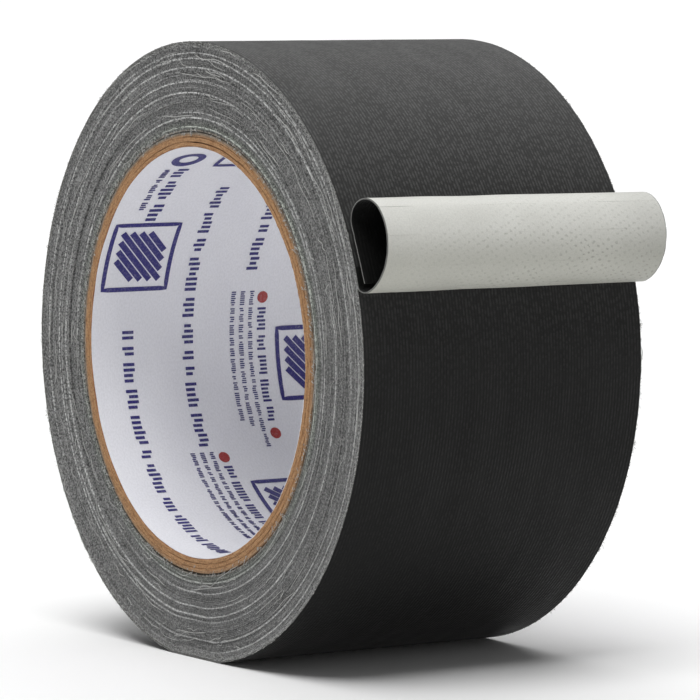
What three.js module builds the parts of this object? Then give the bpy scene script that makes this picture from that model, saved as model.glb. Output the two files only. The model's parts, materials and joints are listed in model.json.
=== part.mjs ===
// A roll of cloth duct tape standing on its tread, with its free end lifted and curled into a tube.
// Millimetres and degrees. +Z is up, the roll's axis runs along Y, and the free end is on the +X side.
// The origin is the middle of the small flat on the tread that the roll stands on.
import * as THREE from 'three';

// The roll
const WIDTH = 60;              // tape and core, along Y
const CORE_BORE_RADIUS = 38.1; // bore of a standard 3 inch core
const TREAD_RADIUS = 57.5;     // at the peel line, where the free end leaves the roll
const AXIS_HEIGHT = 56.7;      // the roll's own weight presses a small flat on the tread
const RAYS = 96;               // facets round every ring, all on the same rays
const RING_GAP = 0.05;         // between one ring and the next

// The core tube: a paper liner in three plies of kraft board
const LINER_THICKNESS = 0.15;
const PLY_THICKNESS = 0.85;
const PLY_NAMES = ['core_inner_ply', 'core_middle_ply', 'core_outer_ply'];

// The tape is a laminate, and this is its build from the outer face of the roll inward
const LAYERS = [
  { name: 'backing_film', thickness: 0.09, color: 0x2b2b2d, roughness: 0.75 },
  { name: 'scrim_cloth', thickness: 0.12, color: 0x85877f, roughness: 0.95 },
  { name: 'adhesive', thickness: 0.08, color: 0xd2d3cb, roughness: 0.6 },
];
const LAYER_GAP = 0.02;
const TAPE_THICKNESS = LAYERS.reduce((sum, layer) => sum + layer.thickness, 0) + 2 * LAYER_GAP;

// The wound turns, in three bundles that stand a little out of line with each other
const BUNDLES = [
  { name: 'tape_inner_turns', share: 1 / 3, shift: 0.15, color: 0x74756f },
  { name: 'tape_middle_turns', share: 2 / 3, shift: -0.2, color: 0x6d6e69 },
  { name: 'tape_outer_turns', share: 1, shift: 0.1, color: 0x767772 },
];

// The free end, from the peel line to the tip. It leaves the roll at the peel line and curls back,
// backing inside and adhesive outside, as a chain of arcs: each has a length and a left-hand turn.
const PEEL_ANGLE = 15;         // above the horizontal through the roll's axis
const TAIL_HEADING = -21;      // direction in which it leaves the roll
const PEEL_GAP = 0.5;          // from the edge of the outermost turn to the first arc
const HINGE_GAP = 0.3;         // between one stretch and the next
const STRETCHES = [
  { name: 'tail_1', arcs: [{ length: 2.6, turn: 41 }] },
  { name: 'tail_2', arcs: [{ length: 2.5, turn: 17.5 }] },
  { name: 'tail_3', arcs: [{ length: 2.5, turn: 17.5 }] },
  { name: 'tail_4', arcs: [{ length: 2.45, turn: 18 }] },
  { name: 'tail_5', arcs: [{ length: 2.45, turn: 18 }] },
  { name: 'tail_6', arcs: [{ length: 2.5, turn: 19 }] },
  { name: 'tail_7', arcs: [{ length: 2.5, turn: 19 }] },
  { name: 'tail_8', arcs: [{ length: 2.45, turn: 24.5 }] },
  { name: 'tail_9', arcs: [{ length: 2.45, turn: 24.5 }] },
  { name: 'tail_tip', arcs: [{ length: 4.7, turn: 55 }, { length: 3.0, turn: 61 }, { length: 10.8, turn: -4 }] },
];
const ARC_STEP = 6;            // degrees of turn to a facet
const STRAIGHT_STEP = 2.5;     // or millimetres of length, where that is more facets

const rad = THREE.MathUtils.degToRad;
const coreRadius = CORE_BORE_RADIUS + PLY_NAMES.length * (PLY_THICKNESS + RING_GAP) - RING_GAP;
const turn = 2 * Math.PI;
const model = new THREE.Group();
model.name = 'duct_tape_roll';

// A point in the X-Z plane from its distance and angle about the roll's axis.
function onRoll(radius, angle) {
  return new THREE.Vector2(radius * Math.cos(angle), AXIS_HEIGHT + radius * Math.sin(angle));
}

// The distance to a plane under the axis along a ray, or Infinity for a ray that points upward.
function reachDown(height, angle) {
  const down = -Math.sin(angle);
  return down > 0 ? height / down : Infinity;
}

// Ray number k, counted from the peel line over the top of the roll. k may hold a fraction.
function rayAngle(k) {
  return rad(PEEL_ANGLE) + (turn * k) / RAYS;
}

// A surface of the outermost turn, a given depth below the tread. It spirals in by one thickness a turn.
function spiralPoint(k, depth) {
  const radius = TREAD_RADIUS - (TAPE_THICKNESS * k) / RAYS - depth;
  return onRoll(Math.min(radius, reachDown(AXIS_HEIGHT - depth, rayAngle(k))), rayAngle(k));
}

// A round surface inside the roll. The flat at the bottom fades out from the tread to the core.
function ringPoint(k, radius) {
  const pressed = (TREAD_RADIUS - AXIS_HEIGHT) * (radius - coreRadius) / (TREAD_RADIUS - coreRadius);
  const height = radius - Math.max(0, pressed);
  return onRoll(Math.min(radius, reachDown(height, rayAngle(k))), rayAngle(k));
}

function ringOutline(radius) {
  return Array.from({ length: RAYS }, (_, k) => ringPoint(k, radius));
}

// A solid with a constant section in the X-Z plane, over the roll's width.
function acrossWidth(outline, hole, shift) {
  const shape = new THREE.Shape(outline);
  if (hole) {
    shape.holes.push(new THREE.Path(hole));
  }
  const geometry = new THREE.ExtrudeGeometry(shape, { depth: WIDTH, bevelEnabled: false });
  geometry.rotateX(Math.PI / 2);
  geometry.translate(0, WIDTH / 2 + shift, 0);
  return geometry;
}

function addPiece(name, geometry, color, roughness) {
  const material = new THREE.MeshStandardMaterial({ color, roughness, metalness: 0 });
  const mesh = new THREE.Mesh(geometry, material);
  mesh.name = name;
  model.add(mesh);
}

function addCore() {
  const linerBore = ringOutline(CORE_BORE_RADIUS - RING_GAP - LINER_THICKNESS);
  addPiece('core_liner', acrossWidth(ringOutline(CORE_BORE_RADIUS - RING_GAP), linerBore, 0), 0xd4d3d8, 0.7);
  PLY_NAMES.forEach((name, i) => {
    const inner = CORE_BORE_RADIUS + i * (PLY_THICKNESS + RING_GAP);
    const geometry = acrossWidth(ringOutline(inner + PLY_THICKNESS), ringOutline(inner), 0);
    addPiece(name, geometry, 0xa8825c, 0.9);
  });
}

// The turns below the outermost one. The last bundle's outside follows the spiral, with its step at the peel line.
function addWoundTurns() {
  const start = coreRadius + RING_GAP;
  const build = TREAD_RADIUS - TAPE_THICKNESS - RING_GAP - start;
  let inner = start;
  for (const bundle of BUNDLES) {
    const outer = start + build * bundle.share;
    const spiral = Array.from({ length: RAYS + 1 }, (_, k) => spiralPoint(k, TAPE_THICKNESS + RING_GAP));
    const outline = bundle.share < 1 ? ringOutline(outer) : spiral;
    addPiece(bundle.name, acrossWidth(outline, ringOutline(inner), bundle.shift), bundle.color, 0.95);
    inner = outer + RING_GAP;
  }
}

// The outermost turn, one open ring for each layer of the tape.
function addLastTurn() {
  const lastRay = RAYS - (HINGE_GAP / (turn * TREAD_RADIUS)) * RAYS;
  const rays = [...Array(RAYS).keys(), lastRay];
  let depth = 0;
  for (const layer of LAYERS) {
    const below = depth + layer.thickness;
    const outside = rays.map((k) => spiralPoint(k, depth));
    const inside = rays.map((k) => spiralPoint(k, below)).reverse();
    const geometry = acrossWidth([...outside, ...inside], null, 0);
    addPiece(`last_turn_${layer.name}`, geometry, layer.color, layer.roughness);
    depth = below + LAYER_GAP;
  }
}

// Walks one stretch of the free end along its arcs. Returns its stations and where it ends.
function walk(arcs, from, heading) {
  const stations = [{ at: from.clone(), heading }];
  const at = from.clone();
  let angle = heading;
  for (const arc of arcs) {
    const steps = Math.ceil(Math.max(Math.abs(arc.turn) / ARC_STEP, arc.length / STRAIGHT_STEP));
    const stepTurn = rad(arc.turn) / steps;
    const chord = (arc.length / steps) * Math.sin(stepTurn / 2) / (stepTurn / 2);
    for (let i = 0; i < steps; i++) {
      at.x += chord * Math.cos(angle + stepTurn / 2);
      at.y += chord * Math.sin(angle + stepTurn / 2);
      angle += stepTurn;
      stations.push({ at: at.clone(), heading: angle });
    }
  }
  return { stations, end: at, heading: angle };
}

// A line of points beside the middle of the strip, a given distance to the left of the way it runs.
function beside(stations, offset) {
  return stations.map(({ at, heading }) => {
    return new THREE.Vector2(at.x - offset * Math.sin(heading), at.y + offset * Math.cos(heading));
  });
}

// The free end. Its backing is on the left of the way it runs, inside the curl.
function addTail() {
  let heading = rad(TAIL_HEADING);
  const peelLine = onRoll(TREAD_RADIUS - TAPE_THICKNESS / 2, rad(PEEL_ANGLE));
  const ahead = (distance) => new THREE.Vector2(Math.cos(heading), Math.sin(heading)).multiplyScalar(distance);
  let from = peelLine.add(ahead(PEEL_GAP));
  for (const stretch of STRETCHES) {
    const path = walk(stretch.arcs, from, heading);
    let left = TAPE_THICKNESS / 2;
    for (const layer of LAYERS) {
      const right = left - layer.thickness;
      const outline = [...beside(path.stations, right), ...beside(path.stations, left).reverse()];
      const geometry = acrossWidth(outline, null, 0);
      addPiece(`${stretch.name}_${layer.name}`, geometry, layer.color, layer.roughness);
      left = right - LAYER_GAP;
    }
    heading = path.heading;
    from = path.end.add(ahead(HINGE_GAP));
  }
}

addCore();
addWoundTurns();
addLastTurn();
addTail();

export default model;
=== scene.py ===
"""The looks of a cloth duct tape roll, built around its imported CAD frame.

Shapes are worked out in millimetres in the row frame and turned into metres as each mesh is made.
X-Z is the plane of the roll's side face, Y runs along its axis, and angles turn from +X towards +Z.
"""

import json
import math

import bpy
import numpy as np
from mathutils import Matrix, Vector


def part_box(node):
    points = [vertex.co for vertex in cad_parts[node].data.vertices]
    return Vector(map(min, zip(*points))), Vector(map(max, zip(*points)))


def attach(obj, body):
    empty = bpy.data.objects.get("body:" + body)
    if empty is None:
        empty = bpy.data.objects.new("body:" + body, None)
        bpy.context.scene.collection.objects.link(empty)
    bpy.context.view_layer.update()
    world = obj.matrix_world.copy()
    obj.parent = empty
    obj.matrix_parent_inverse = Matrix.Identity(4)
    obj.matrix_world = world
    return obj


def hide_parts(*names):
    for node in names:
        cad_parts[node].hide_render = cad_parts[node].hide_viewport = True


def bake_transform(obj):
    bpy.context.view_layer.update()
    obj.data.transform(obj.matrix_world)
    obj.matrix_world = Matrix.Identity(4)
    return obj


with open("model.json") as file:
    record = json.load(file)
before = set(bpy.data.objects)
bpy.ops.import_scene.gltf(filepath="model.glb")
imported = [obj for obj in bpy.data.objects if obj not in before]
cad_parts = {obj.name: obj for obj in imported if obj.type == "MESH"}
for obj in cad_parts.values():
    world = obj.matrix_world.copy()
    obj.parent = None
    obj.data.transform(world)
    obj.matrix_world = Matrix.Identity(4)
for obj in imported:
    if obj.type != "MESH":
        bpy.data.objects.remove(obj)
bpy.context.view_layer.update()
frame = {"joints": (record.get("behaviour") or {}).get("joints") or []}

MM = 0.001
TURN = 2 * math.pi


def corners(node):
    """The lowest and highest corner of a CAD node, in millimetres."""
    low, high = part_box(node)
    return np.array(low) / MM, np.array(high) / MM


# ---------------------------------------------------------------- sizes, from the frame where it has them

LINER_LOW, LINER_HIGH = corners("core_liner")
AXIS_HEIGHT = (LINER_LOW[2] + LINER_HIGH[2]) / 2
HALF_WIDTH = LINER_HIGH[1]
LINER_OUTER = LINER_HIGH[0]
LINER_THICKNESS = 0.15
CORE_RADIUS = corners("core_outer_ply")[1][0]
PLY_NAMES = ("core_inner_ply", "core_middle_ply", "core_outer_ply")
PLY_THICKNESS = 0.85

LAYERS = (("backing_film", 0.09), ("scrim_cloth", 0.12), ("adhesive", 0.08))
LAYER_GAP = 0.02
TAPE = sum(thickness for _, thickness in LAYERS) + 2 * LAYER_GAP
PEEL_ANGLE = math.radians(15)
TOP_OF_SPIRAL = 75 / 360     # of a turn, from the peel line to the roll's top, where the spiral is measured
TREAD_RADIUS = corners("last_turn_backing_film")[1][2] - AXIS_HEIGHT + TAPE * TOP_OF_SPIRAL

HINGES = {joint["name"]: np.array(joint["pos_m"])[[0, 2]] / MM for joint in frame["joints"]}
HINGE_GAP = 0.3
PEEL_GAP = 0.5
TAIL_HEADING = math.radians(-21)
# The free end's stretches, each a chain of (length, left turn in degrees) arcs
STRETCHES = (
    ("tail_1", ((2.6, 41),)),
    ("tail_2", ((2.5, 17.5),)),
    ("tail_3", ((2.5, 17.5),)),
    ("tail_4", ((2.45, 18),)),
    ("tail_5", ((2.45, 18),)),
    ("tail_6", ((2.5, 19),)),
    ("tail_7", ((2.5, 19),)),
    ("tail_8", ((2.45, 24.5),)),
    ("tail_9", ((2.45, 24.5),)),
    ("tail_tip", ((4.7, 55), (3.0, 61), (10.8, -4))),
)


# ---------------------------------------------------------------- seeded smooth noise

def fade(t):
    """An even rise from 0 to 1, level at both ends."""
    return t * t * (3 - 2 * t)


def step_between(low, high, x):
    """0 up to low and 1 from high on, fading in between. low may be the larger one."""
    return fade(np.clip((x - low) / (high - low), 0, 1))


def drift(x, seed):
    """A smooth random line between -1 and 1, with one free value for each unit of x.

    Each use has a seed of its own."""
    x = np.asarray(x, float)
    start = math.floor(x.min())
    values = np.random.default_rng(seed).uniform(-1, 1, math.ceil(x.max()) - start + 2)
    cell = np.floor(x).astype(int) - start
    share = fade(x - np.floor(x))
    return values[cell] * (1 - share) + values[cell + 1] * share


def ripple(x, y, seed):
    """The same over a plane, where x and y are arrays of one shape."""
    x, y = np.broadcast_arrays(np.asarray(x, float), np.asarray(y, float))
    low = (math.floor(x.min()), math.floor(y.min()))
    size = (math.ceil(x.max()) - low[0] + 2, math.ceil(y.max()) - low[1] + 2)
    values = np.random.default_rng(seed).uniform(-1, 1, size)
    i, j = np.floor(x).astype(int) - low[0], np.floor(y).astype(int) - low[1]
    a, b = fade(x - np.floor(x)), fade(y - np.floor(y))
    near = values[i, j] * (1 - a) + values[i + 1, j] * a
    far = values[i, j + 1] * (1 - a) + values[i + 1, j + 1] * a
    return near * (1 - b) + far * b


# ---------------------------------------------------------------- meshes

def body_of_columns(points, closed=False, uv=None, period=0):
    """A closed body from columns of points, each column a ring round its section.

    points is columns x ring x 3. The columns join up where closed is true, and are capped across the
    ring where it is not. uv is each point's UV, which grows by period on the way round a closed body.
    Returns its vertices, four-cornered faces that look outward, and each face corner's UV."""
    columns, ring, _ = points.shape
    index = np.arange(columns * ring).reshape(columns, ring)
    here = index if closed else index[:-1]
    after = np.roll(index, -1, axis=0) if closed else index[1:]
    faces = np.stack([here, np.roll(here, -1, 1), np.roll(after, -1, 1), after], -1).reshape(-1, 4)
    if uv is not None:
        uv = uv.reshape(-1, 2)[faces]
        if closed:
            uv[-ring:, 2:, 0] += period
    if not closed:
        rungs = np.arange(ring // 2 - 1)
        first = np.stack([rungs, ring - 1 - rungs, ring - 2 - rungs, rungs + 1], -1)
        caps = np.concatenate([first, (columns - 1) * ring + first[:, ::-1]])
        if uv is not None:
            flat = np.zeros((len(caps), 4, 2)) + uv[0, 0]
            uv = np.concatenate([uv, flat])
        faces = np.concatenate([faces, caps])
    vertices = points.reshape(-1, 3)
    a, b, c, d = (vertices[faces[:, k]] for k in range(4))
    volume = np.einsum("ij,ij->i", a, np.cross(b, c) + np.cross(c, d)).sum()
    if volume < 0:
        faces = faces[:, ::-1]
        uv = None if uv is None else uv[:, ::-1]
    return vertices, faces, uv


def make_piece(name, bodies, material, tones=None, sharp_angle=35):
    """One mesh object from a list of closed bodies, in metres. tones is a colour for each vertex."""
    starts = np.cumsum([0] + [len(vertices) for vertices, _, _ in bodies])
    vertices = np.concatenate([v for v, _, _ in bodies]) * MM
    faces = np.concatenate([f + start for (_, f, _), start in zip(bodies, starts)]).astype(np.int32)
    mesh = bpy.data.meshes.new(name)
    mesh.vertices.add(len(vertices))
    mesh.vertices.foreach_set("co", vertices.astype(np.float32).ravel())
    mesh.loops.add(faces.size)
    mesh.loops.foreach_set("vertex_index", faces.ravel())
    mesh.polygons.add(len(faces))
    mesh.polygons.foreach_set("loop_start", np.arange(0, faces.size, 4, dtype=np.int32))
    mesh.polygons.foreach_set("use_smooth", np.ones(len(faces), bool))
    mesh.update(calc_edges=True)
    if bodies[0][2] is not None:
        layer = mesh.uv_layers.new(name="strip_mm")
        corner_uv = np.concatenate([uv for _, _, uv in bodies])
        layer.data.foreach_set("uv", corner_uv.astype(np.float32).ravel())
    if tones is not None:
        attribute = mesh.color_attributes.new("tone", "FLOAT_COLOR", "POINT")
        solid = np.concatenate([tones, np.ones((len(tones), 1))], 1)
        attribute.data.foreach_set("color", solid.astype(np.float32).ravel())
    mesh.set_sharp_from_angle(angle=math.radians(sharp_angle))
    mesh.materials.append(material)
    piece = bpy.data.objects.new(name, mesh)
    bpy.context.scene.collection.objects.link(piece)
    return piece


def section_ring(low_side, high_side):
    """A ring round a section, out along one side of it and back along the other."""
    return np.concatenate([low_side, high_side[:, ::-1]], axis=1)


# ---------------------------------------------------------------- materials

class Shader:
    """One material, whose nodes are added by short calls that return an output socket."""

    def __init__(self, name, roughness, **fixed):
        self.material = bpy.data.materials.new(name)
        self.material.use_nodes = True
        self.tree = self.material.node_tree
        self.surface = self.tree.nodes["Principled BSDF"]
        self.surface.inputs["Roughness"].default_value = roughness
        for socket, value in fixed.items():
            self.surface.inputs[socket.replace("_", " ")].default_value = value

    def add(self, kind, inputs=(), **settings):
        node = self.tree.nodes.new("ShaderNode" + kind)
        for name, value in settings.items():
            setattr(node, name, value)
        for name, value in dict(inputs).items():
            if isinstance(value, bpy.types.NodeSocket):
                self.tree.links.new(value, node.inputs[name])
            else:
                node.inputs[name].default_value = value
        return node

    def math(self, operation, a, b=0.0, c=0.0):
        return self.add("Math", {0: a, 1: b, 2: c}, operation=operation).outputs[0]

    def place(self):
        """The point in the piece's own space, in millimetres."""
        point = self.add("TexCoord").outputs["Object"]
        return self.add("VectorMath", {0: point, 3: 1 / MM}, operation="SCALE").outputs[0]

    def strip(self):
        """Millimetres along the strip and across it, as two sockets."""
        point = self.add("UVMap", uv_map="strip_mm").outputs[0]
        split = self.add("SeparateXYZ", {0: point})
        return split.outputs[0], split.outputs[1]

    def stretched(self, along, across, length, width):
        """A point of a pattern whose grain is so many millimetres long and wide."""
        inputs = {0: self.math("DIVIDE", along, length), 1: self.math("DIVIDE", across, width)}
        return self.add("CombineXYZ", inputs).outputs[0]

    def noise(self, point, size=1.0, detail=2.0):
        inputs = {"Vector": point, "Scale": 1 / size, "Detail": detail}
        return self.add("TexNoise", inputs).outputs[0]

    def spread(self, value, low, high, to_low=0.0, to_high=1.0):
        inputs = {"Value": value, "From Min": low, "From Max": high, "To Min": to_low, "To Max": to_high}
        return self.add("MapRange", inputs, interpolation_type="SMOOTHSTEP").outputs[0]

    def mix(self, share, a, b, blend_type="MIX"):
        node = self.add("Mix", data_type="RGBA", blend_type=blend_type)
        for k, value in ((0, share), (6, a), (7, b)):
            if isinstance(value, bpy.types.NodeSocket):
                self.tree.links.new(value, node.inputs[k])
            else:
                node.inputs[k].default_value = (*value, 1) if k else value
        return node.outputs[2]

    def shade(self, colour, amount):
        """A colour made lighter or darker by an amount that is 1 for no change."""
        grey = self.add("CombineColor", {0: amount, 1: amount, 2: amount}).outputs[0]
        return self.mix(1.0, colour, grey, "MULTIPLY")

    def finish(self, colour, height=None, depth=0.1, roughness=None):
        """Wires the colour, a relief so many millimetres deep, and the roughness."""
        self.tree.links.new(colour, self.surface.inputs["Base Color"])
        if height is not None:
            inputs = {"Height": height, "Distance": depth * MM, "Strength": 1.0}
            self.tree.links.new(self.add("Bump", inputs).outputs[0], self.surface.inputs["Normal"])
        if roughness is not None:
            self.tree.links.new(roughness, self.surface.inputs["Roughness"])
        return self.material


RIB_PITCH = 0.66         # from one rib of the weave to the next, across the tape
DASH_LENGTH = 0.8        # of the threads that show through the film
ROW_OFFSET = 5.7         # steps between rows in the dashes' noise, so that no two rows are alike


def weave(shader, along, across):
    """The relief of the weave: ribs along the tape, each broken into dashes of uneven length."""
    row = shader.math("DIVIDE", across, RIB_PITCH)
    hump = shader.math("PINGPONG", row, 0.5)
    crest = shader.math("POWER", shader.math("SINE", shader.math("MULTIPLY", hump, math.pi)), 1.6)
    apart = shader.math("MULTIPLY", shader.math("FLOOR", row), ROW_OFFSET)
    dashes = shader.noise(shader.stretched(along, apart, DASH_LENGTH, 1), detail=0.0)
    return shader.math("MULTIPLY", crest, shader.spread(dashes, 0.35, 0.65, 0.35, 1.0))


def backing_material(name, dust_and_top_light):
    """Black film over the weave, a little worn on the threads' crowns. dust_and_top_light lays a lighter grey
    on the upper part: dust on the threads and painted top light.
    """
    shader = Shader(name, 0.55, Specular_IOR_Level=0.16, Sheen_Weight=0.05, Sheen_Roughness=0.4)
    along, across = shader.strip()
    wander = shader.noise(shader.stretched(along, across, 6, 2), detail=1.0)
    across = shader.math("MULTIPLY_ADD", wander, 0.35, across)
    threads = weave(shader, along, across)
    cloudy = shader.noise(shader.stretched(along, across, 14, 5), detail=3.0)
    worn = shader.math("MULTIPLY", shader.spread(threads, 0.6, 1.0), shader.spread(cloudy, 0.35, 0.75))
    colour = shader.mix(worn, (0.0055, 0.0055, 0.0053), (0.014, 0.014, 0.0135))
    if dust_and_top_light:
        # Dust and painted top light: a lighter grey that grows with height, most on the threads' crowns.
        height = shader.add("SeparateXYZ", {0: shader.place()}).outputs[2]
        top_share = shader.spread(height, 0.8 * AXIS_HEIGHT, 2.1 * AXIS_HEIGHT)
        caught = shader.math("MULTIPLY", top_share, shader.spread(threads, 0.05, 0.9, 0.4, 1.0))
        colour = shader.mix(caught, colour, (0.095, 0.095, 0.094))
    grain = shader.noise(shader.stretched(along, across, 0.18, 0.18), detail=2.0)
    colour = shader.shade(colour, shader.spread(grain, 0.3, 0.7, 0.8, 1.25))
    relief = shader.math("MULTIPLY_ADD", grain, 0.15, threads)
    rough = shader.spread(cloudy, 0.3, 0.7, 0.5, 0.62)
    return shader.finish(colour, relief, 0.07, rough)


def cloth_material():
    """The scrim's grey cotton, seen at its cut edges."""
    shader = Shader("grey_scrim", 0.9, Sheen_Weight=0.3)
    point = shader.place()
    fibres = shader.noise(point, 0.25, 3.0)
    colour = shader.mix(fibres, (0.07, 0.072, 0.068), (0.24, 0.24, 0.23))
    return shader.finish(colour, fibres, 0.05)


PIT_PITCH = (1.5, 2.0)   # between the pits in the adhesive, along the tape and across it


def weave_pits(shader, along, across, patchy):
    """Rows of pits where the adhesive sinks into the weave. They fade out in patches and at the low-Y end."""
    uneven = shader.noise(shader.stretched(along, across, 3.5, 5), detail=2.0)
    sway = shader.math("MULTIPLY_ADD", uneven, 1.6, shader.math("MULTIPLY_ADD", across, 0.22, along))
    rows = shader.math("SINE", shader.math("MULTIPLY", sway, TURN / PIT_PITCH[0]))
    drifting = shader.math("ADD", across, uneven)
    files = shader.math("SINE", shader.math("MULTIPLY", drifting, TURN / PIT_PITCH[1]))
    dents = shader.noise(shader.stretched(along, across, 0.5, 0.8), detail=1.0)
    grid = shader.math("MULTIPLY_ADD", rows, files, shader.math("MULTIPLY_ADD", dents, 2.4, -1.2))
    pits = shader.spread(grid, 0.45, 0.95)
    pits = shader.math("MULTIPLY", pits, shader.spread(patchy, 0.3, 0.7, 0.3, 1.0))
    # Fewer pits towards the low-Y end and past 17 to 24 mm along the strip: the pits' darkening of the lower
    # curl and its high-Y end is partly painted shade.
    pits = shader.math("MULTIPLY", pits, shader.spread(across, -HALF_WIDTH, 0.5 * HALF_WIDTH, 0.25, 1.0))
    return shader.math("MULTIPLY", pits, shader.spread(along, 17.0, 24.0, 1.0, 0.35))


def adhesive_material():
    """Pale rubber adhesive, pitted by the weave. Painted shade makes it darker and olive on the curl's first
    stretch near the roll, darker towards the high-Y end and dark at its cut edges.
    """
    shader = Shader("pale_adhesive", 0.5, Specular_IOR_Level=0.35)
    along, across = shader.strip()
    patchy = shader.noise(shader.stretched(along, across, 7, 9), detail=3.0)
    pits = weave_pits(shader, along, across, patchy)
    fine = shader.noise(shader.stretched(along, across, 0.3, 0.3), detail=3.0)
    # A lit tone and a painted-shade tone: thin is the painted shade, darker and olive, on the curl's first
    # stretch up to 14 to 22 mm along the strip.
    thick = shader.mix(patchy, (0.60, 0.60, 0.56), (0.70, 0.70, 0.66))
    thin = shader.mix(patchy, (0.40, 0.40, 0.355), (0.48, 0.48, 0.435))
    colour = shader.mix(shader.spread(along, 14.0, 22.0), thin, thick)
    # Painted shade: darker towards the high-Y end.
    colour = shader.shade(colour, shader.spread(across, 0.5 * HALF_WIDTH, HALF_WIDTH, 1.0, 0.87))
    colour = shader.mix(shader.math("MULTIPLY", pits, 0.55), colour, (0.24, 0.24, 0.21))
    # Painted shade: the cut edges are darkened nearly to black.
    from_edge = shader.math("SUBTRACT", HALF_WIDTH, shader.math("ABSOLUTE", across))
    colour = shader.mix(shader.spread(from_edge, 0.02, 0.15, 0.9, 0.0), colour, (0.07, 0.07, 0.065))
    colour = shader.shade(colour, shader.spread(fine, 0.3, 0.7, 0.95, 1.05))
    relief = shader.math("SUBTRACT", shader.math("MULTIPLY", fine, 0.4), pits)
    return shader.finish(colour, relief, 0.06, shader.spread(patchy, 0.3, 0.7, 0.42, 0.58))


def wound_material():
    """The cut edges of the wound turns: each vertex has its own tone, under a speckle of thread ends.

    The speckle is sharp at one side of the roll and rubbed to felt at the other."""
    shader = Shader("wound_edges", 0.95, Sheen_Weight=0.15)
    point = shader.place()
    tone = shader.add("Attribute", attribute_name="tone").outputs["Color"]
    thread_ends = shader.noise(point, 0.42, 1.0)
    fine = shader.noise(point, 0.16, 1.0)
    patches = shader.noise(point, 3.5, 2.0)
    specks = shader.spread(shader.noise(point, 0.36, 0.0), 0.64, 0.72)
    place = shader.add("SeparateXYZ", {0: point}).outputs
    towards_felt = shader.math("SUBTRACT", place[0], place[2])
    felted = shader.spread(towards_felt, -AXIS_HEIGHT - 20, 20 - AXIS_HEIGHT / 2)
    darkest = shader.math("MULTIPLY_ADD", felted, 0.27, 0.36)
    lightest = shader.math("MULTIPLY_ADD", felted, -0.25, 1.62)
    colour = shader.shade(tone, shader.spread(thread_ends, 0.34, 0.64, darkest, lightest))
    colour = shader.shade(colour, shader.spread(fine, 0.3, 0.7, 0.75, 1.25))
    colour = shader.shade(colour, shader.spread(patches, 0.3, 0.7, 0.88, 1.12))
    colour = shader.mix(shader.math("MULTIPLY", specks, 0.55), colour, (0.36, 0.36, 0.35))
    return shader.finish(colour, thread_ends, 0.2)


def kraft_material():
    """Kraft board: long fibres round the tube, small dark flecks and paler torn spots."""
    shader = Shader("kraft_board", 0.9)
    along, across = shader.strip()
    fibres = shader.noise(shader.stretched(along, across, 2.2, 0.16), detail=4.0)
    flecks = shader.noise(shader.place(), 0.35, 3.0)
    colour = shader.mix(shader.spread(fibres, 0.3, 0.7), (0.28, 0.135, 0.055), (0.47, 0.275, 0.135))
    colour = shader.shade(colour, shader.spread(flecks, 0.25, 0.6, 0.6, 1.1))
    # The tone carries each ply's edge colours, among them painted shade on the last ply's edge.
    tone = shader.add("Attribute", attribute_name="tone").outputs["Color"]
    colour = shader.mix(1.0, colour, tone, "MULTIPLY")
    relief = shader.math("ADD", fibres, flecks)
    return shader.finish(colour, relief, 0.08)


def paper_material():
    """The liner's smooth white paper, cool and slightly uneven."""
    shader = Shader("liner_paper", 0.6)
    along, across = shader.strip()
    pulp = shader.noise(shader.stretched(along, across, 0.5, 0.35), detail=4.0)
    cloudy = shader.noise(shader.stretched(along, across, 18, 9), detail=2.0)
    colour = shader.mix(cloudy, (0.76, 0.76, 0.80), (0.84, 0.84, 0.87))
    colour = shader.shade(colour, shader.spread(pulp, 0.3, 0.7, 0.95, 1.04))
    return shader.finish(colour, pulp, 0.015)


def ink_material(name, colour):
    """Printing ink, a little thinner where the paper's fibres lift."""
    shader = Shader(name, 0.5)
    coverage = shader.noise(shader.place(), 0.4, 3.0)
    paler = tuple(0.75 * c + 0.25 * 0.5 for c in colour)
    return shader.finish(shader.mix(shader.spread(coverage, 0.45, 0.8), colour, paler), coverage, 0.01)


def thread_material():
    """Loose cotton fibres."""
    shader = Shader("loose_cotton", 0.9, Sheen_Weight=0.3)
    fibres = shader.noise(shader.place(), 0.6, 2.0)
    return shader.finish(shader.mix(fibres, (0.27, 0.275, 0.265), (0.55, 0.55, 0.53)), fibres, 0.02)


MATERIALS = {
    "backing_film": backing_material("black_backing", False),
    "scrim_cloth": cloth_material(),
    "adhesive": adhesive_material(),
    "wound_tape": wound_material(),
    "kraft_board": kraft_material(),
    "liner_paper": paper_material(),
}
# The film with dust and painted top light on its upper part, for the outermost turn.
DUST_AND_TOP_LIGHT_BACKING = backing_material("dust_and_top_light_backing", True)
COTTON = thread_material()


# ---------------------------------------------------------------- the roll

def pressed(radius, angle, tread=TREAD_RADIUS):
    """x and z on the roll. The tread's flat on the floor fades out towards the core."""
    radius, angle = np.broadcast_arrays(radius, angle)
    share = (AXIS_HEIGHT - CORE_RADIUS) / (tread - CORE_RADIUS)
    height = np.where(radius > CORE_RADIUS, CORE_RADIUS + (radius - CORE_RADIUS) * share, radius)
    down = np.maximum(-np.sin(angle), 1e-6)
    radius = np.minimum(radius, height / down)
    return radius * np.cos(angle), AXIS_HEIGHT + radius * np.sin(angle)


def on_strip(turns, depth):
    """x and z on the wound strip, so many turns from the peel line and millimetres below its outer face."""
    angle = PEEL_ANGLE + TURN * turns
    tread = TREAD_RADIUS - TAPE * (turns % 1)
    return pressed(TREAD_RADIUS - TAPE * turns - depth, angle, tread)


def as_points(x, y, z):
    return np.stack(np.broadcast_arrays(x, y, z), -1)


COLUMNS_PER_TURN = 640
# Each bundle's CAD node, its first and last turn, and its shift along Y
BUNDLES = (
    ("tape_outer_turns", 1.0, 17.6, 0.1),
    ("tape_middle_turns", 17.6, 34.1, -0.2),
    ("tape_inner_turns", 34.1, 49.5, 0.15),
)
BUNDLE_GAP = 0.02
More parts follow.
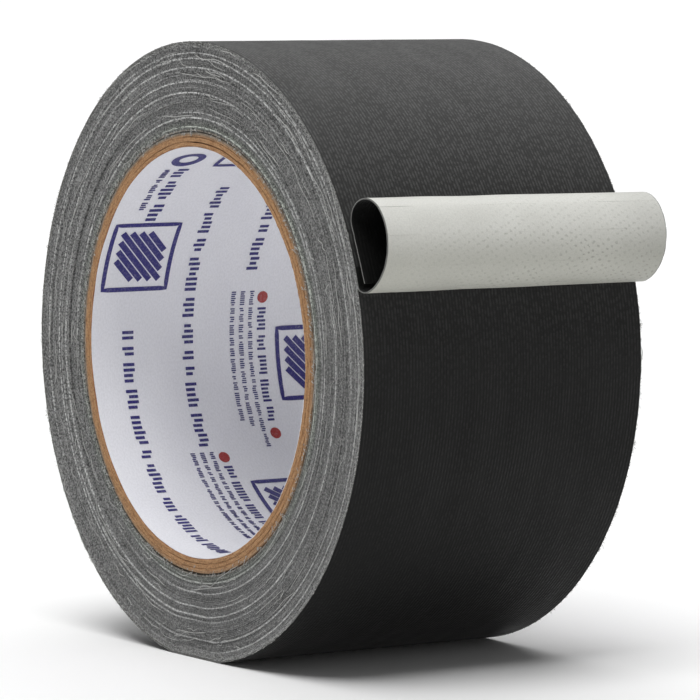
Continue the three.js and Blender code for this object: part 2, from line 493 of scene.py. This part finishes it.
# Across the strip's cut edge: the depth, how far it bulges out there, and its tone
EDGE_DEPTHS = (0.01, 0.14, 0.31)
EDGE_BULGES = (0, 0.05, -0.02)
EDGE_TONES = (0.87, 1.06, 0.97)
LOWER_RIGHT = -0.7       # the direction from the axis, in radians, where the roll's edges are roughest
BAND_WANDER = 0.09       # of several turns together, in and out of the side face
TURN_WANDER = 0.05       # of single turns
THREAD_FRAY = 0.03       # of the thread ends along a turn's edge
PROUD_RISE = 0.2         # of the stretches of a turn that stand out as bright rings, their brightness partly fuzz and partly painted highlight
EDGE_GREY = np.array([0.139, 0.140, 0.138])
EDGE_GREEN = np.array([0.129, 0.137, 0.124])     # from turn 42 to 47 the edge goes over to this tone
EDGE_LINTED = np.array([0.165, 0.145, 0.120])    # the last turns carry lint of the board


def proud(turns, side):
    """How far each stretch of a turn stands out of the side face, from 0 to 1."""
    return step_between(0.6, 0.82, drift(turns * 1.7, 11 + side))


def edge_line(turns, shift, side):
    """Where the strip's edge lies along Y. side is -1 or 1."""
    wander = BAND_WANDER * drift(turns / 2.5, 21) + TURN_WANDER * drift(turns * 2.3, 31 + side)
    outward = PROUD_RISE * proud(turns, side) + THREAD_FRAY * drift(turns * 210, 41 + side)
    return side * (HALF_WIDTH + outward) + shift + wander


def edge_tones(turns, side):
    """A colour for each column and depth of the strip's edge."""
    angle = PEEL_ANGLE + TURN * turns
    light = 0.93 + 0.10 * drift(turns * 1.3, 51 + side) + 0.10 * drift(turns * 23, 61 + side)
    light += 0.16 * drift(turns / 1.8, 54 + side) * (1 + 0.8 * drift(turns * 0.9, 57 + side))
    # Painted highlight and fuzz: turns that stand proud are coloured much lighter.
    light += 1.5 * proud(turns, side)
    outer_band = step_between(5.5, 3.0, turns)
    light += (0.28 + 0.32 * np.cos(angle - LOWER_RIGHT)) * outer_band
    near_core = step_between(42, 47, turns)[:, None]
    touching = step_between(48.2, 49.2, turns)[:, None]
    base = EDGE_GREY * (1 - near_core) + EDGE_GREEN * near_core
    base = base * (1 - touching) + EDGE_LINTED * touching
    return base[:, None] * light[:, None, None] * np.array(EDGE_TONES)[None, :, None]


def add_bundle(name, first, last, shift):
    """A bundle of wound turns, as one long spiral strip."""
    count = int((last - first) * COLUMNS_PER_TURN)
    gap = BUNDLE_GAP / (TURN * TREAD_RADIUS)
    turns = np.linspace(first + gap, last - gap, count)
    sides, tones = [], []
    for side in (-1, 1):
        y = edge_line(turns, shift, side)
        column = []
        for depth, bulge in zip(EDGE_DEPTHS, EDGE_BULGES):
            x, z = on_strip(turns, depth)
            column.append(as_points(x, y + side * bulge, z))
        sides.append(np.stack(column, 1))
        tones.append(edge_tones(turns, side))
    points = section_ring(*sides)
    colours = section_ring(*tones).reshape(-1, 3)
    piece = make_piece(name + "_strip", [body_of_columns(points)], MATERIALS["wound_tape"], colours, 50)
    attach(piece, "roll")
    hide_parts(name)


def layer_depths():
    """Each layer's name and its outer and inner depth in the tape."""
    depth = 0
    for name, thickness in LAYERS:
        yield name, depth, depth + thickness
        depth += thickness + LAYER_GAP


def fray(layer):
    """How far a layer stands out of the tape's cut edge: only the cotton does."""
    return SCRIM_FRAY if layer == "scrim_cloth" else 0.0


ACROSS = np.linspace(-1, 1, 41)      # places across the tape, as shares of its half width
SCRIM_FRAY = 0.05
OVERLAP = 4.0                        # how far above the peel line the free end's pieces start
LAST_TURN_COLUMNS = 900


def rise_of_film(turns, along, across):
    """How far the outermost turn stands off the one below, in millimetres. It lies flat on the floor."""
    off_floor = step_between(-0.98, -0.9, np.sin(PEEL_ANGLE + TURN * turns))
    broad = 0.03 * ripple(along / 9, across / 7 + 50, 71)
    rise = broad + 0.014 * ripple(along / 2.5, across / 3 + 50, 72)
    return np.maximum(rise, 0) * off_floor * step_between(0, 3, along - OVERLAP)


def add_last_turn():
    """The outermost turn, layer by layer, from the peel line round to the start of the free end."""
    round_once = TURN * TREAD_RADIUS
    turns = np.linspace(1 - HINGE_GAP / round_once, OVERLAP / round_once, LAST_TURN_COLUMNS)[:, None]
    along = turns * round_once
    for name, outer, inner in layer_depths():
        y = ACROSS * (HALF_WIDTH + fray(name)) + 0.03 * ripple(along / 1.7, ACROSS, 81)
        rise = rise_of_film(turns, along, y)
        flat = np.stack(np.broadcast_arrays(-along, y), -1)
        faces = []
        for depth in (outer, inner):
            x, z = on_strip(turns, depth - rise)
            faces.append(as_points(x, y, z))
        body = body_of_columns(section_ring(*faces), uv=section_ring(flat, flat))
        # The outermost turn's film carries the dust and painted top light.
        finish = DUST_AND_TOP_LIGHT_BACKING if name == "backing_film" else MATERIALS[name]
        piece = make_piece("outermost_turn_" + name, [body], finish)
        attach(piece, "roll")
        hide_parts("last_turn_" + name)


# ---------------------------------------------------------------- the core

PLY_COLUMNS = 720
PLY_SHOULDERS = (0.12, 0.10)                     # how far from each face a ply's edge rounds over
PARTED_AND_SHADED_SIDE = math.radians(125)                   # the direction from the axis where the plies part most and where the painted shade on the last ply's edge is deepest
PLY_ROUNDING = (-0.05, 0.0, 0.02, 0.0, -0.05)    # how far a ply's edge stands out, from its bore outwards
BORE_TINT = np.array([0.8, 0.62, 0.55])          # of the first ply's edge, where it meets the paper
OUTSIDE_GREY_AND_SHADE = np.array([0.5, 0.85, 1.55])       # of the last ply's edge, where it meets the tape: a greyer tone there, deepened towards the upper left as painted shade


def ply_radii(index, inner, outer, angle, rough):
    """The radii across a ply's edge. Slits open between a ply and the next one out."""
    opened = step_between(-0.4, 0.5, drift(angle * 4.1 + 5, 91 + index))
    slit = (0.03 + 0.14 * (index == 0) * rough) * opened
    middle = (inner + outer) / 2
    return [inner, inner + PLY_SHOULDERS[0], middle, outer - PLY_SHOULDERS[1] - slit, outer - slit]


def ply_tones(index, rough):
    """The tones across a ply's edge, one for each of its radii."""
    inside_edge = BORE_TINT if index == 0 else np.ones(3)
    # Greyer towards the tape, a little all round and most at the upper left: partly the edge's tone, partly
    # painted shade.
    outside_edge = 1 + (index == 2) * (0.3 + 0.7 * rough[:, None]) * (OUTSIDE_GREY_AND_SHADE - 1)
    tones = [inside_edge + 0 * outside_edge]
    for k in range(1, len(PLY_ROUNDING)):
        share = step_between(0.1, 0.8, k / 4)
        tones.append((1 - share) * np.ones(3) + share * outside_edge)
    return np.stack(tones, 1)


def add_ply(index):
    """One ply of kraft board, with a torn fibrous edge and its faces not quite touching the next ply's."""
    node = PLY_NAMES[index]
    outer = corners(node)[1][0]
    angle = np.linspace(0, TURN, PLY_COLUMNS, endpoint=False) + PEEL_ANGLE
    along = angle * outer
    rough = 0.5 + 0.5 * np.cos(angle - PARTED_AND_SHADED_SIDE)
    radii = ply_radii(index, outer - PLY_THICKNESS, outer, angle, rough)
    sides, uvs = [], []
    for side in (-1, 1):
        column, flat = [], []
        for k, radius in enumerate(radii):
            torn = 0.06 * drift(along * 1.6 + 100, 101 + 7 * index + k)
            torn = torn + 0.05 * drift(along / 3, 131 + index)
            y = side * (HALF_WIDTH + 0.05 * (1 - index) + torn + PLY_ROUNDING[k])
            x, z = pressed(radius + 0 * angle, angle)
            column.append(as_points(x, y, z))
            flat.append(np.stack([along, y + radius + 0 * y], -1))
        sides.append(np.stack(column, 1))
        uvs.append(np.stack(flat, 1))
    body = body_of_columns(section_ring(*sides), True, section_ring(*uvs), TURN * outer)
    tones = ply_tones(index, rough)
    colours = section_ring(tones, tones).reshape(-1, 3)
    name = node.replace("core_", "board_")
    piece = make_piece(name, [body], MATERIALS["kraft_board"], colours, 60)
    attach(piece, "roll")
    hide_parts(node)


LINER_INNER = LINER_OUTER - LINER_THICKNESS
LINER_COLUMNS = 480
LINER_SHORTFALL = 0.1    # how far the paper stops short of each end of the core
LAP_RISE = 0.03
LAP_PITCH = 95           # of the spiral that the paper's lap runs in, along Y


def add_liner():
    """The paper that lines the bore. Its spiral lap stands a hair proud."""
    angle = np.linspace(0, TURN, LINER_COLUMNS, endpoint=False)[:, None] + PEEL_ANGLE
    y = ACROSS * (HALF_WIDTH - LINER_SHORTFALL)
    y = y + 0.08 * ripple(angle * 9, np.sign(ACROSS) + 3, 151) * (np.abs(ACROSS) == 1)
    lap = step_between(0.92, 1.0, (angle / TURN + y / LAP_PITCH) % 1) * LAP_RISE
    wave = 0.02 * ripple(angle * 5, y / 12 + 10, 152)
    inner_x, inner_z = pressed(LINER_INNER + 0.02 - lap + wave, angle)
    outer_x, outer_z = pressed(LINER_OUTER + 0 * y, angle)
    points = section_ring(as_points(inner_x, y, inner_z), as_points(outer_x, y, outer_z))
    flat = np.stack(np.broadcast_arrays(angle * LINER_INNER, y), -1)
    body = body_of_columns(points, True, section_ring(flat, flat), TURN * LINER_INNER)
    piece = make_piece("liner_tube", [body], MATERIALS["liner_paper"])
    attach(piece, "roll")
    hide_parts("core_liner")


# ---------------------------------------------------------------- the print on the liner

INK_OUTER = LINER_INNER - 0.035      # clear of the paper's lap and waves
INK_THICKNESS = 0.03


def printed(path, half_width, closed=False):
    """A raised stroke of ink on the liner, along a path of (millimetres round, millimetres along Y)."""
    path = np.asarray(path, float)
    way = np.gradient(path, axis=0)
    if closed:
        way = np.roll(path, -1, 0) - np.roll(path, 1, 0)
    way /= np.linalg.norm(way, axis=1)[:, None]
    aside = np.stack([-way[:, 1], way[:, 0]], -1) * half_width
    section = []
    for edge, level in ((-1, 0), (1, 0), (1, 1), (-1, 1)):
        flat = path + edge * aside
        angle = flat[:, 0] / LINER_INNER
        reach = INK_OUTER - level * INK_THICKNESS
        section.append(as_points(reach * np.cos(angle), flat[:, 1], AXIS_HEIGHT + reach * np.sin(angle)))
    return body_of_columns(np.stack(section, 1), closed)


# Of a line of print, as shares of its height
TICK_PITCH = 0.42
TICK_HALF_WIDTH = 0.12
GROUP_GAP = 0.4


def line_of_print(start, end, y, height, seed):
    """A line of print, as groups of upright ticks of uneven height from start to end."""
    rng = np.random.default_rng(seed)
    ticks = []
    at = start
    while at < end:
        for _ in range(rng.integers(2, 8)):
            low, high = rng.choice((0.5, 0.5, 0.3), 2)
            path = [(at, y - low * height), (at, y), (at, y + high * height)]
            ticks.append(printed(path, TICK_HALF_WIDTH * height))
            at += TICK_PITCH * height
        at += GROUP_GAP * height
    return ticks


def round_mark(centre, radius, half_width):
    """A ring, or a dot where the stroke is about as wide as the radius."""
    around = np.linspace(0, TURN, 40, endpoint=False)
    path = np.stack([centre[0] + radius * np.cos(around), centre[1] + radius * np.sin(around)], -1)
    return printed(path, half_width, True)


FRAME_SIZE = 14
FRAME_POINTS = 12        # on each side of the square frame
FRAME_MARGIN = 1.9       # from the frame to the strokes inside it


def square_mark(centre):
    """A square frame filled with slanting strokes."""
    half = FRAME_SIZE / 2
    side = np.linspace(-half, half, FRAME_POINTS, endpoint=False)
    edge = np.stack([side, np.full(FRAME_POINTS, -half)], -1)
    quarter_turn = np.array([[0, 1], [-1, 0]])
    outline = np.concatenate([edge @ np.linalg.matrix_power(quarter_turn, k) for k in range(4)])
    marks = [printed(outline + centre, 0.45, True)]
    room = half - FRAME_MARGIN
    for shift in np.arange(-1.2, 1.3, 0.4) * room:
        reach = room - abs(shift) / 2
        t = np.linspace(-reach, reach, 9)
        stroke = np.stack([centre[0] + t + shift / 2, centre[1] + t - shift / 2], -1)
        marks.append(printed(stroke, 0.6))
    return marks


PRINT_PERIOD = math.pi * LINER_INNER      # the print repeats twice round the bore
BANDS = 4
BAND_PITCH = 13.4        # from band to band along Y
BAND_STEP = 32           # how much further back round the bore each band starts than the one before
FIRST_BAND = (118, -22)  # where its headline starts, in millimetres round the bore and along Y
HEADLINE_LENGTH = 53


def block_of_print(start, y, seed):
    """A heading between two dots, over three lines of small print. Returns its navy and its red strokes."""
    navy = line_of_print(start + 3.5, start + 24, y + 3.4, 1.9, seed)
    for row in range(3):
        navy += line_of_print(start, start + 30 - 3 * row, y + 0.9 - 2.1 * row, 1.0, seed + 1 + row)
    return navy, [round_mark((start + at, y + 3.4), 0.6, 0.58) for at in (1.2, 28.6)]


def ring_and_lines(start, y, seed):
    """A plain ring, beside a short line of print over a smaller one."""
    marks = [round_mark((start - 44, y - 0.5), 2.6, 0.75)]
    marks += line_of_print(start - 39, start - 27, y + 0.8, 2.8, seed + 1)
    return marks + line_of_print(start - 39, start - 27, y - 2.4, 1.3, seed + 4)


def add_print():
    """Bands of generic marks along the bore, each band a step further back round it than the last."""
    navy, red = [], []
    for band in range(BANDS):
        y = FIRST_BAND[1] + BAND_PITCH * band
        for repeat in range(2):
            start = FIRST_BAND[0] - BAND_STEP * band + PRINT_PERIOD * repeat
            seed = 200 + 20 * band + 10 * repeat
            navy += line_of_print(start, start + HEADLINE_LENGTH, y, 2.5, seed)
            navy += square_mark((start - 15.5, y + 0.7))
            if band == 0:
                navy += ring_and_lines(start, y, seed)
            else:
                block, dots = block_of_print(start + HEADLINE_LENGTH + 4, y, seed + 2)
                navy += block
                red += dots
    blue_ink = ink_material("navy_ink", (0.020, 0.015, 0.16))
    red_ink = ink_material("red_ink", (0.35, 0.03, 0.03))
    for name, bodies, ink in (("liner_print_navy", navy, blue_ink), ("liner_print_red", red, red_ink)):
        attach(make_piece(name, bodies, ink), "roll")


# ---------------------------------------------------------------- the free end

WALK_STEP = 0.25


def walk(start, heading, arcs):
    """Points, headings and lengths so far along a chain of (length, left turn in degrees) arcs."""
    at, angle = np.array(start, float), heading
    points, headings, marks = [at.copy()], [angle], [0.0]
    for length, turn in arcs:
        steps = max(1, math.ceil(length / WALK_STEP))
        bend = math.radians(turn) / steps
        chord = length / steps * (math.sin(bend / 2) / (bend / 2) if bend else 1)
        for _ in range(steps):
            at = at + chord * np.array([math.cos(angle + bend / 2), math.sin(angle + bend / 2)])
            angle += bend
            points.append(at)
            headings.append(angle)
            marks.append(marks[-1] + length / steps)
    return np.array(points), np.array(headings), np.array(marks)


FILLET = 0.9             # radius of the bend where the tape leaves the roll
TIP_REACH = 2.4          # how far into the tip the last hinge's bend goes
SEAM_GAP = 0.001         # from each end of a piece to its cut
SEAM_MARGINS = (0.02, 0.12)          # how near a piece's ends its other columns may come
CUT_DRAG = 0.08          # how far the shears dragged the film over the cut end
FAR_END_DROP = 0.45      # how much lower the curl stands at its far end
DROP_HEIGHT = 16         # from the peel line up to where that drop is complete


def tail_arcs():
    """The free end's arcs from above the peel line, and where each stretch starts and ends along them."""
    middle = TREAD_RADIUS - TAPE / 2
    bend = TAIL_HEADING - (PEEL_ANGLE - math.pi / 2)
    tangent = FILLET * math.tan(bend / 2)
    arcs = [(OVERLAP - tangent, -math.degrees((OVERLAP - tangent) / middle))]
    arcs.append((FILLET * bend, math.degrees(bend)))
    arcs.append((PEEL_GAP - tangent, 0))
    spans = {}
    for name, stretch in STRETCHES:
        at = sum(length for length, _ in arcs)
        arcs += stretch
        spans[name] = (at, at + sum(length for length, _ in stretch))
        arcs.append((HINGE_GAP, 0))
    return arcs[:-1], spans


def tail_line(arcs):
    """The middle of the free end's strip, from its start above the peel line."""
    middle = TREAD_RADIUS - TAPE / 2
    angle = PEEL_ANGLE + OVERLAP / middle
    start = (middle * math.cos(angle), AXIS_HEIGHT + middle * math.sin(angle))
    return walk(start, angle - math.pi / 2, arcs)


def on_line(line, at):
    """x, z and heading, so many millimetres along a walked line."""
    points, headings, marks = line
    return [np.interp(at, marks, values) for values in (points[:, 0], points[:, 1], headings)]


def tail_face(line, at, depth, layer):
    """One face of a layer of the free end: its points, and the same in millimetres of the strip."""
    x, z, heading = (value[:, None] for value in on_line(line, at))
    along = at[:, None]
    ragged = 0.05 * ripple(along / 1.3, np.sign(ACROSS) + 3, 161) * (np.abs(ACROSS) == 1)
    y = ACROSS * (HALF_WIDTH + fray(layer)) + ragged
    lift = 0.05 * ripple(along / 6, y / 9 + 40, 162) * step_between(OVERLAP, OVERLAP + 3, along)
    offset = TAPE / 2 - depth + lift
    x = x - offset * np.sin(heading)
    z = z + offset * np.cos(heading)
    root = HINGES["peel"][1]
    towards_far_end = (y + HALF_WIDTH) / (2 * HALF_WIDTH)
    z -= FAR_END_DROP * towards_far_end * step_between(root, root + DROP_HEIGHT, z)
    return as_points(x, y, z), np.stack(np.broadcast_arrays(along, y), -1)


def tail_columns(line, low, high):
    """Where the columns of a piece of the free end stand along the strip."""
    marks = line[2]
    inside = (marks > low + SEAM_MARGINS[0]) & (marks < high - SEAM_MARGINS[1])
    return np.concatenate([[low + SEAM_GAP], marks[inside], [high - SEAM_GAP]])


def add_tail():
    """The free end, cut in the middle of each stretch, so that every piece but the last spans a hinge."""
    arcs, spans = tail_arcs()
    line = tail_line(arcs)
    chain = ["roll"] + [name for name, _ in STRETCHES]
    cuts = [0.0] + [sum(spans[name]) / 2 for name in chain[1:-1]]
    cuts += [spans["tail_tip"][0] + TIP_REACH, line[2][-1]]
    for k in range(len(chain)):
        low, high = cuts[k], cuts[k + 1]
        last = k + 1 == len(chain)
        for name, outer, inner in layer_depths():
            at = tail_columns(line, low, high)
            if last and name != "backing_film":
                at[-1] -= CUT_DRAG
            sides, flats = zip(*(tail_face(line, at, depth, name) for depth in (outer, inner)))
            body = body_of_columns(section_ring(*sides), uv=section_ring(*flats))
            piece = make_piece(f"free_end_{k + 1}_{name}", [body], MATERIALS[name])
            if last:
                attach(piece, "tail_tip")
                continue
            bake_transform(piece)
            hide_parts(f"{chain[k + 1]}_{name}")


# ---------------------------------------------------------------- loose fibres

SLANT = np.array([0.31, 0.17, 0.93])     # a direction that hardly any fibre runs along


def fibre(points, radius):
    """A thin thread along a line of points, pointed at both ends."""
    points = np.asarray(points, float)
    way = np.gradient(points, axis=0)
    way /= np.linalg.norm(way, axis=1)[:, None]
    side = np.cross(way, SLANT)
    side /= np.linalg.norm(side, axis=1)[:, None]
    other = np.cross(way, side)
    share = np.linspace(0, 1, len(points))
    thick = radius * np.sqrt(np.clip(1 - (2 * share - 1) ** 6, 0.06, 1))[:, None]
    ring = [points + thick * (math.cos(a) * side + math.sin(a) * other) for a in np.arange(4) * TURN / 4]
    return body_of_columns(np.stack(ring, 1))


def side_point(turns, side, out):
    """A point just off the side face, so many turns from the peel line."""
    x, z = on_strip(turns, TAPE / 2)
    return as_points(x, side * (HALF_WIDTH + out), z)


# How many of each at each end of the roll
SIDE_THREADS = 150
EDGE_FIBRES = 2400
CORE_LINT = 420


def clumping(angle):
    """How thickly the fuzz stands at a place round the tread's edge, from -1 to 1."""
    return drift(np.array([0, angle * 19, TURN * 19]), 302)[1]


def side_thread(rng, side):
    """A long thread that lies on the side face, along the turns and a little across them."""
    start = rng.uniform(1, 48)
    length = rng.uniform(2, 14) / (TURN * 50)
    t = np.linspace(0, 1, 12)
    cross = rng.normal(0, 1.0) + 0.6 * np.sin(TURN * t * rng.uniform(0.5, 1.5) + rng.uniform(0, TURN))
    turns = np.clip(start + rng.uniform(0, 1), 1, 48.8)
    centre = side_point(turns + length * t, side, 0.38)
    angle = PEEL_ANGLE + TURN * turns
    radial = np.stack([np.cos(angle), 0, np.sin(angle)])
    centre = centre - radial * (cross * t)[:, None] * rng.uniform(0.2, 1.0)
    sway = 0.10 * np.sin(TURN * t * 1.5 + rng.uniform(0, TURN))
    centre[:, 1] += side * (sway - 0.15 * (2 * t - 1) ** 4)
    return fibre(centre, rng.uniform(0.045, 0.075))


def edge_fibre(rng, side):
    """A short fibre of fuzz at the tread's edge. Fuzz is longer in clumps and at the lower right."""
    angle = rng.uniform(0, TURN)
    radius = TREAD_RADIUS - TAPE * ((angle - PEEL_ANGLE) % TURN) / TURN
    clump = max(0.0, clumping(angle)) ** 2 + 0.35 * max(0.0, math.cos(angle - LOWER_RIGHT))
    length = rng.uniform(0.2, 0.5) * (1 + clump)
    t = np.linspace(0, 1, 4)
    lean = rng.normal(0, 0.6)
    rise = rng.uniform(0, 0.3) + 0.5 * clump
    inset = rng.uniform(0.02, 1.0)
    x, z = pressed(radius - inset + rise * length * t, angle + lean * length * t / radius, radius + 0.6)
    y = side * (HALF_WIDTH + 0.02 + length * 0.6 * (t - 0.6 * rise * t * t))
    return fibre(as_points(x, y, np.maximum(z, 0.06)), rng.uniform(0.028, 0.055))


def core_lint(rng, side):
    """A bit of cotton caught where the innermost turn meets the core."""
    angle = rng.uniform(0, TURN)
    t = np.linspace(0, 1, 6)
    curl = rng.uniform(0.5, 2.5)
    from_core = rng.normal(0.15, 0.35) + 0.25 * np.sin(curl * 3 * t)
    x, z = pressed(CORE_RADIUS + from_core, angle + curl * 0.25 * t / CORE_RADIUS)
    y = side * (HALF_WIDTH + 0.12 + 0.15 * np.sin(math.pi * t))
    return fibre(as_points(x, y, z), rng.uniform(0.04, 0.08))


def add_loose_fibres():
    rng = np.random.default_rng(301)
    threads, fuzz = [], []
    for side in (-1, 1):
        threads += [side_thread(rng, side) for _ in range(SIDE_THREADS)]
        fuzz += [edge_fibre(rng, side) for _ in range(EDGE_FIBRES)]
        threads += [core_lint(rng, side) for _ in range(CORE_LINT)]
    for name, bodies in (("side_threads", threads), ("edge_fuzz", fuzz)):
        piece = make_piece(name, bodies, COTTON, sharp_angle=80)
        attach(piece, "roll")


# ---------------------------------------------------------------- stage, light and camera

FLOOR_REACH = 90.0       # metres from the roll to each edge of the floor


def add_stage():
    mesh = bpy.data.meshes.new("floor")
    square = [(FLOOR_REACH * x, FLOOR_REACH * y, 0) for x, y in ((-1, -1), (1, -1), (1, 1), (-1, 1))]
    mesh.from_pydata(square, [], [(0, 1, 2, 3)])
    shader = Shader("pale_floor", 0.9, Specular_IOR_Level=0.0)
    shader.surface.inputs["Base Color"].default_value = (0.94, 0.94, 0.94, 1)
    mesh.materials.append(shader.material)
    floor = bpy.data.objects.new("floor", mesh)
    bpy.context.scene.collection.objects.link(floor)


def add_sun(name, azimuth, elevation, strength, softness):
    """A broad soft light."""
    light = bpy.data.lights.new(name, "SUN")
    light.energy = strength
    light.angle = math.radians(softness)
    lamp = bpy.data.objects.new(name, light)
    a, e = math.radians(azimuth), math.radians(elevation)
    back = Vector((math.sin(a) * math.cos(e), -math.cos(a) * math.cos(e), math.sin(e)))
    lamp.rotation_mode = "QUATERNION"
    lamp.rotation_quaternion = back.to_track_quat("Z", "Y")
    bpy.context.scene.collection.objects.link(lamp)


CAMERA_LENS = 235.0
CAMERA_PLACE = (719.4, -465.2, 124.9)
CAMERA_BACK = (0.8347, -0.5448, 0.0802)      # the way from the scene towards the camera
CAMERA_RANGE = 200       # metres, past the floor's edges


def add_camera():
    camera = bpy.data.cameras.new("camera")
    camera.lens = CAMERA_LENS
    camera.sensor_width = 36
    camera.clip_end = CAMERA_RANGE
    holder = bpy.data.objects.new("camera", camera)
    holder.location = Vector(CAMERA_PLACE) * MM
    holder.rotation_mode = "QUATERNION"
    holder.rotation_quaternion = Vector(CAMERA_BACK).to_track_quat("Z", "Y")
    bpy.context.scene.collection.objects.link(holder)
    bpy.context.scene.camera = holder


# The sky's strength over the upward part of a direction
SKY = {"From Min": 0.06, "From Max": 0.2, "To Min": 1.0, "To Max": 0.18}


def add_sky():
    """Soft surroundings, white at the horizon where they meet the floor and dim overhead."""
    world = bpy.data.worlds.new("soft_surroundings")
    world.use_nodes = True
    tree = world.node_tree
    background = tree.nodes["Background"]
    background.inputs["Color"].default_value = (1, 1, 1, 1)
    direction = tree.nodes.new("ShaderNodeTexCoord").outputs["Generated"]
    split = tree.nodes.new("ShaderNodeSeparateXYZ")
    dimming = tree.nodes.new("ShaderNodeMapRange")
    for name, value in SKY.items():
        dimming.inputs[name].default_value = value
    tree.links.new(direction, split.inputs[0])
    tree.links.new(split.outputs[2], dimming.inputs["Value"])
    tree.links.new(dimming.outputs[0], background.inputs["Strength"])
    bpy.context.scene.world = world


def add_lights():
    add_sky()
    add_sun("key_light", 32, 70, 2.0, 35)
    add_sun("back_light", 235, 62, 1.2, 60)
    bpy.context.scene.view_settings.view_transform = "Standard"


add_camera()
add_stage()
add_lights()
for index in range(len(PLY_NAMES)):
    add_ply(index)
add_liner()
add_print()
for bundle in BUNDLES:
    add_bundle(*bundle)
add_last_turn()
add_tail()
add_loose_fibres()
